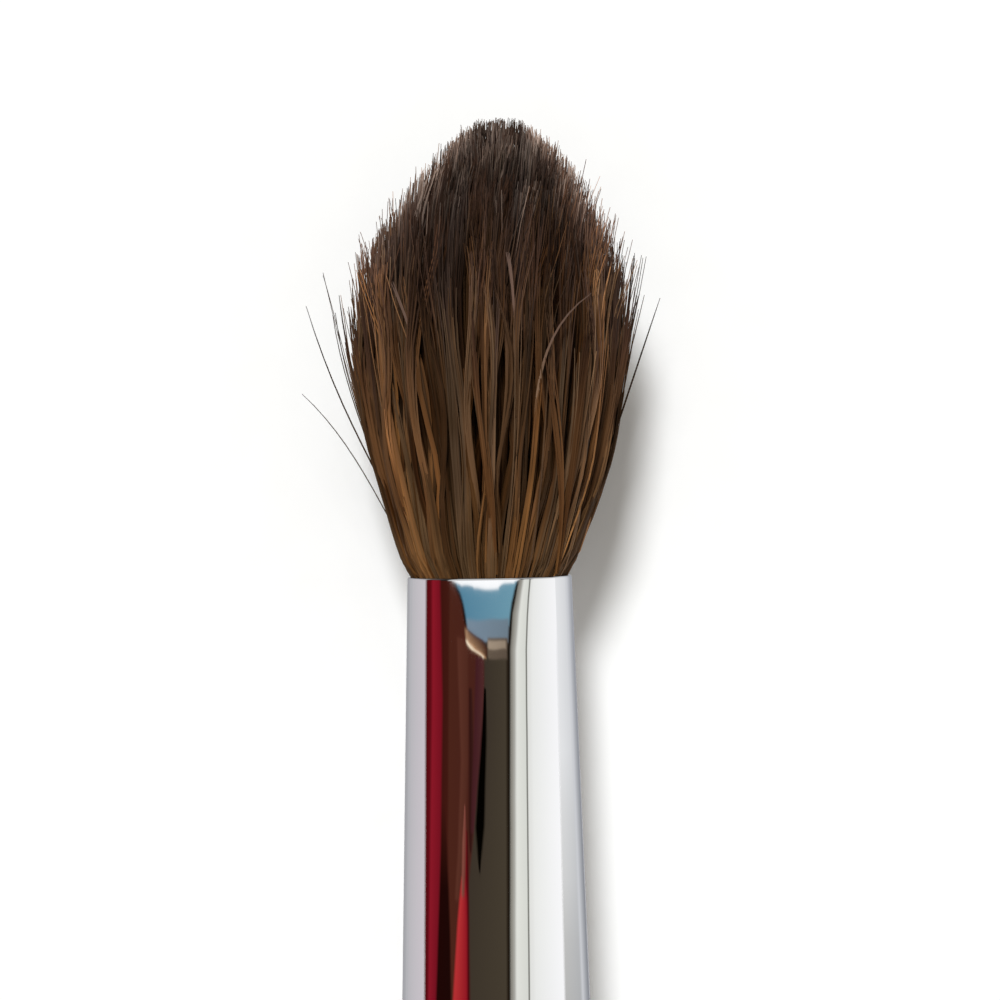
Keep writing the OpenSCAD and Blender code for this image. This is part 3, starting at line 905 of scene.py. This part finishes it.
# Cards that only reflections see, each in front of the last: where it stands, its screen colours at the left
# and right edge, and where in the photograph's frame the ferrule shows it, in rows of y, left, right and,
# where the card fades, cover
FAR, NEAR, PAPER = 260 * MM, 34 * MM, None
CARDS = (
    ("back_dark", FAR, (58, 26, 19), (62, 54, 45), ((577, 430, 522), (650, 430, 514), (1000, 429, 514))),
    ("back_pale", FAR, (204, 205, 199), (240, 240, 238),
     ((577, 517, 546), (615, 510, 544), (1000, 509, 550))),
    ("maroon", FAR, (60, 20, 15), (66, 28, 20),
     ((577, 438, 456), (700, 440, 456), (850, 438, 454), (1000, 434, 452))),
    ("brown", FAR, (74, 36, 26), (70, 33, 26),
     ((577, 450, 464), (640, 449, 487), (850, 448, 475), (1000, 451, 460))),
    ("brown_pale", FAR, (88, 48, 37), (80, 42, 32),
     ((640, 457, 468), (760, 461, 468), (850, 458, 465), (900, 455, 460))),
    ("brown_dark", FAR, (48, 20, 17), (54, 26, 22),
     ((690, 469, 472), (760, 469, 474), (830, 469, 473), (850, 470, 472))),
    ("plum", FAR, (66, 30, 34), (76, 40, 40), ((660, 476, 484), (760, 473, 483), (830, 471, 478))),
    ("olive", FAR, (58, 50, 41), (68, 60, 48),
     ((577, 462, 518), (615, 475, 512), (648, 484, 511), (720, 485, 510), (1000, 457, 510))),
    ("wedge", FAR, (3, 2, 1), (3, 2, 1),
     ((690, 484, 486), (740, 481, 486.5), (825, 475.5, 484.5), (870, 479, 480.5))),
    ("olive_dark", FAR, (36, 28, 20), (12, 9, 6),
     ((577, 515, 521), (615, 508.5, 514), (650, 506.5, 511.5), (1000, 507, 511.5))),
    ("wall_shade", FAR, (136, 133, 124), (190, 190, 184),
     ((577, 520, 527), (615, 513, 521), (650, 510.5, 518), (1000, 510.5, 518))),
    ("wall", FAR, (223, 224, 217), (212, 214, 207),
     ((577, 524, 531), (615, 519, 528), (650, 516, 527), (1000, 516, 530))),
    ("wall_line", FAR, (118, 118, 112), (118, 118, 112),
     ((577, 529.6, 531), (615, 526.6, 528), (650, 525.5, 526.9), (1000, 528.5, 530))),
    ("low_dark", FAR, (30, 7, 5), (28, 8, 6),
     ((800, 441, 446, 0), (850, 440.5, 447, 0.6), (890, 439.5, 448.5), (930, 437.5, 450),
      (1000, 435.5, 451))),
    ("low_red_edge", FAR, (112, 14, 22), (70, 8, 14), ((830, 465, 467.5), (900, 465, 469), (1000, 465, 470))),
    ("low_red", FAR, (180, 48, 50), (146, 26, 36),
     ((880, 461.5, 465), (900, 459.5, 466.5), (930, 457, 467), (1000, 453, 467))),
    ("low_glint", FAR, (128, 74, 62), (112, 58, 50),
     ((806, 464.4, 465.6), (840, 462.5, 466), (870, 462, 465.5), (896, 461.5, 464.5))),
    ("teal_rim", FAR, (26, 12, 11), (26, 12, 11),
     ((583, 453, 458), (592, 458, 463), (603, 461.5, 466), (624, 464.5, 468.5))),
    ("teal", FAR, (84, 130, 154), (106, 150, 168),
     ((581, 455, 517), (592, 460.5, 514), (603, 463.5, 511.5), (624, 467, 509))),
    ("teal_low", FAR, (118, 136, 152), (108, 124, 136),
     ((620, 467, 509), (632, 467.5, 508.5), (641, 478, 508))),
    ("pale_top", FAR, (252, 253, 254), (252, 253, 254),
     ((574, 448, 520), (580.5, 452.5, 518.5), (583, 460, 514))),
    ("pale_teeth", FAR, (252, 253, 254), (252, 253, 254),
     ((580.5, 461, 508), (584, 466, 503.5), (587, 473, 498.5))),
    ("bronze", FAR, (160, 124, 94), (66, 38, 27),
     ((630, 465, 470), (640, 466, 483), (650, 471, 488), (656, 478, 488))),
    ("gold", FAR, (252, 234, 206), (176, 134, 98),
     ((641, 466, 470), (645, 468, 474), (650, 472, 477), (658, 482, 486))),
    ("tan", FAR, (98, 85, 72), (92, 79, 67), ((639, 488, 508), (650, 487.5, 507), (658, 488, 507))),
    ("tan_pale", FAR, (160, 143, 124), (146, 130, 112), ((642, 488, 506), (648.5, 488, 506))),
    ("red_edge", NEAR, (84, 8, 14), (104, 16, 26), ((577, 426, 435), (1000, 424.5, 432))),
    ("red", NEAR, (136, 24, 38), (118, 18, 32),
     ((577, 432, 440), (700, 432, 442.5), (850, 430, 440.5), (1000, 428, 436))),
    ("window", NEAR, (232, 233, 230), (247, 247, 248), ((577, 533, 557), (650, 531, 557), (1000, 535, 565))),
    ("paper_left", PAPER, (188, 188, 190), (200, 193, 199), ((577, 406.5, 427), (1000, 401, 424))),
    ("edge_left", PAPER, (146, 146, 148), (188, 188, 190), ((577, 405.5, 412), (1000, 400, 407.5))),
    ("paper_right", PAPER, (228, 229, 230), (212, 214, 216), ((577, 554, 572), (1000, 566, 589))),
    ("low_right", PAPER, (184, 184, 182), (176, 178, 180),
     ((750, 559.3, 578.5, 0), (820, 560.9, 581, 0.35), (880, 562.3, 583.5, 0.5), (940, 563.6, 586, 0.85),
      (1000, 565, 589))),
    # This card darkens to its right: painted shade of the floor beside the brush, as the plating reflects it
    ("edge_right_shade", PAPER, (208, 210, 213), (140, 143, 148), ((577, 565.5, 573), (1000, 582, 590))),
)

# A card that reaches these rows goes on past the photographed stretch, and turns to plain grey there
MOUTH_ROW, LAST_ROW = 580, PHOTO_PX
CARD_LENGTH = 400 * MM
CARD_FADE = 12 * MM
PLAIN_GREY, PLAIN_SHARE = 0.01, 0.45
# Distances between one card and the next
CARD_STEP = 1.1 * MM
NEAR_STEP = 0.06 * CARD_STEP
PAPER_STEP = 0.01 * MM
# In pixels: a card's soft edge, and its longest steps across and along
SOFT_PX = 2.4
FINE_PX, FINE_ROWS = 3, 60
LEAST_INNER = 4
# How bright the plating reflects
PLATING = 0.56


def card_glow(name, left, right, low_y, high_y):
    """A soft-edged glow from one colour to the other, and plain grey past the photographed stretch."""
    material, n = new_material(name)
    y = n.add("SeparateXYZ", {0: n.place()}).outputs["Y"]
    beyond = n.math("MAXIMUM", n.math("SUBTRACT", low_y, y), n.math("SUBTRACT", y, high_y))
    plain = n.map_range(beyond, 0.0, CARD_FADE)
    grey = PLAIN_GREY + PLAIN_SHARE * (0.2126 * left[0] + 0.7152 * left[1] + 0.0722 * left[2])
    shown = n.mix(plain, n.mix(n.attribute("across"), left, right), (grey, grey, grey, 1))
    glow = n.add("Emission", {"Color": shown, "Strength": 1 / PLATING}).outputs[0]
    clear = n.add("BsdfTransparent").outputs[0]
    n.output(n.add("MixShader", {0: n.attribute("cover"), 1: clear, 2: glow}).outputs[0])
    return material


def finer_rows(rows):
    """The card's rows with more between them, so that its surface stays round.

    Each has a cover, which is 1 where the card gives none, and 0 where it fades.
    """
    rows = [(*row, 1)[:4] for row in rows]
    if rows[0][0] > MOUTH_ROW:
        rows.insert(0, (rows[0][0] - SOFT_PX, *rows[0][1:3], 0))
    if rows[-1][0] < LAST_ROW:
        rows.append((rows[-1][0] + SOFT_PX, *rows[-1][1:3], 0))
    finer = [rows[0]]
    for above, below in zip(rows, rows[1:]):
        shift = max(abs(below[1] - above[1]), abs(below[2] - above[2]))
        steps = math.ceil(max(shift / FINE_PX, (below[0] - above[0]) / FINE_ROWS))
        for i in range(1, steps + 1):
            finer.append(tuple(a + (b - a) * i / steps for a, b in zip(above, below)))
    return finer


def make_cards():
    """Long curved cards over the brush, which give the plating its stripes."""
    for number, (name, stands, left_colour, right_colour, rows) in enumerate(CARDS):
        away = stands and stands - number * (CARD_STEP if stands == FAR else NEAR_STEP)
        inner = max(LEAST_INNER, math.ceil(max(row[2] - row[1] for row in rows) / FINE_PX))
        columns = inner + 2
        places, covers = [], []
        for row, left, right, cover in finer_rows(rows):
            soft = min(SOFT_PX, (right - left) / 2)
            between = np.linspace(left + soft / 2, right - soft / 2, inner).tolist()
            for px in (left - soft / 2, *between, right + soft / 2):
                places.append(reflected_place(px, row, away, number * PAPER_STEP))
            covers += [0] + [cover] * inner + [0]
        low_y, high_y = min(p.y for p in places[-columns:]), max(p.y for p in places[:columns])
        if rows[0][0] <= MOUTH_ROW:
            places = [Vector((p.x, p.y + CARD_LENGTH, p.z)) for p in places[:columns]] + places
            covers = covers[:columns] + covers
        if rows[-1][0] >= LAST_ROW:
            places += [Vector((p.x, p.y - CARD_LENGTH, p.z)) for p in places[-columns:]]
            covers += covers[-columns:]
        faces = [
            (r * columns + i, r * columns + i + 1, (r + 1) * columns + i + 1, (r + 1) * columns + i)
            for r in range(len(places) // columns - 1)
            for i in range(columns - 1)
        ]
        across = [0, *np.linspace(0, 1, inner).tolist(), 1] * (len(places) // columns)
        card = mesh_object("stage_" + name, places, faces, smooth=False)
        for key, values in (("across", across), ("cover", covers)):
            card.data.attributes.new(key, "FLOAT", "POINT").data.foreach_set("value", values)
        set_material(card, card_glow("stage_" + name, srgb(*left_colour), srgb(*right_colour), low_y, high_y))
        card.visible_camera = card.visible_diffuse = card.visible_shadow = False
        card.visible_transmission = card.visible_volume_scatter = False


# The room's level and colour as light, the lamp's level on the table, its colour, width and direction
AMBIENT = 0.33
AMBIENT_COLOUR = (1.0, 0.94, 0.85, 1)
LAMP_LEVEL = 0.74
LAMP_COLOUR = (0.98, 1.0, 1.02)
LAMP_WIDE_DEG = 14
LAMP_TOWARDS = (-0.15, 0.62, 1.0)


def make_light():
    """White room and one soft lamp, high and beyond the tip of the brush."""
    world = bpy.data.worlds.new("white_room")
    bpy.context.scene.world = world
    world.use_nodes = True
    n = Nodes(world.node_tree)
    path = n.add("LightPath")
    seen = n.math("MAXIMUM", path.outputs["Is Camera Ray"], path.outputs["Is Glossy Ray"])
    strength = n.math("ADD", n.math("MULTIPLY", seen, 1 - AMBIENT), AMBIENT)
    colour = n.mix(seen, AMBIENT_COLOUR, (1, 1, 1, 1))
    room = n.add("Background", {"Color": colour, "Strength": strength})
    n.output(room.outputs[0], "OutputWorld")
    towards = Vector(LAMP_TOWARDS).normalized()
    data = bpy.data.lights.new("key_lamp", "SUN")
    data.energy = math.pi * LAMP_LEVEL / towards.z
    data.color = LAMP_COLOUR
    data.angle = math.radians(LAMP_WIDE_DEG)
    lamp = bpy.data.objects.new("key_lamp", data)
    bpy.context.scene.collection.objects.link(lamp)
    lamp.rotation_mode = "QUATERNION"
    lamp.rotation_quaternion = towards.to_track_quat("Z", "Y")
    lamp.visible_glossy = False


# The CAD solids that stay, with their finishes
SEALED_INSIDE = (
    ("root_binding", "waxed_thread", (0.50, 0.42, 0.30, 1), (0.72, 0.64, 0.50, 1), 0.75, 900),
    ("root_resin", "amber_resin", (0.36, 0.20, 0.05, 1), (0.50, 0.31, 0.10, 1), 0.2, 300),
    ("handle_glue", "dried_adhesive", (0.60, 0.54, 0.36, 1), (0.74, 0.68, 0.48, 1), 0.55, 500),
)


def dress_cad_nodes():
    for name, *finish in SEALED_INSIDE:
        set_material(nodes[name], plain_inner(*finish))


make_camera()
make_light()
make_stage()
make_cards()
dress_cad_nodes()
make_ferrule()
make_handle()
natural_hair = hair_fibre("natural_hair")
make_hair(natural_hair)
make_strays(natural_hair)

bpy.context.scene.view_settings.view_transform = "Standard"
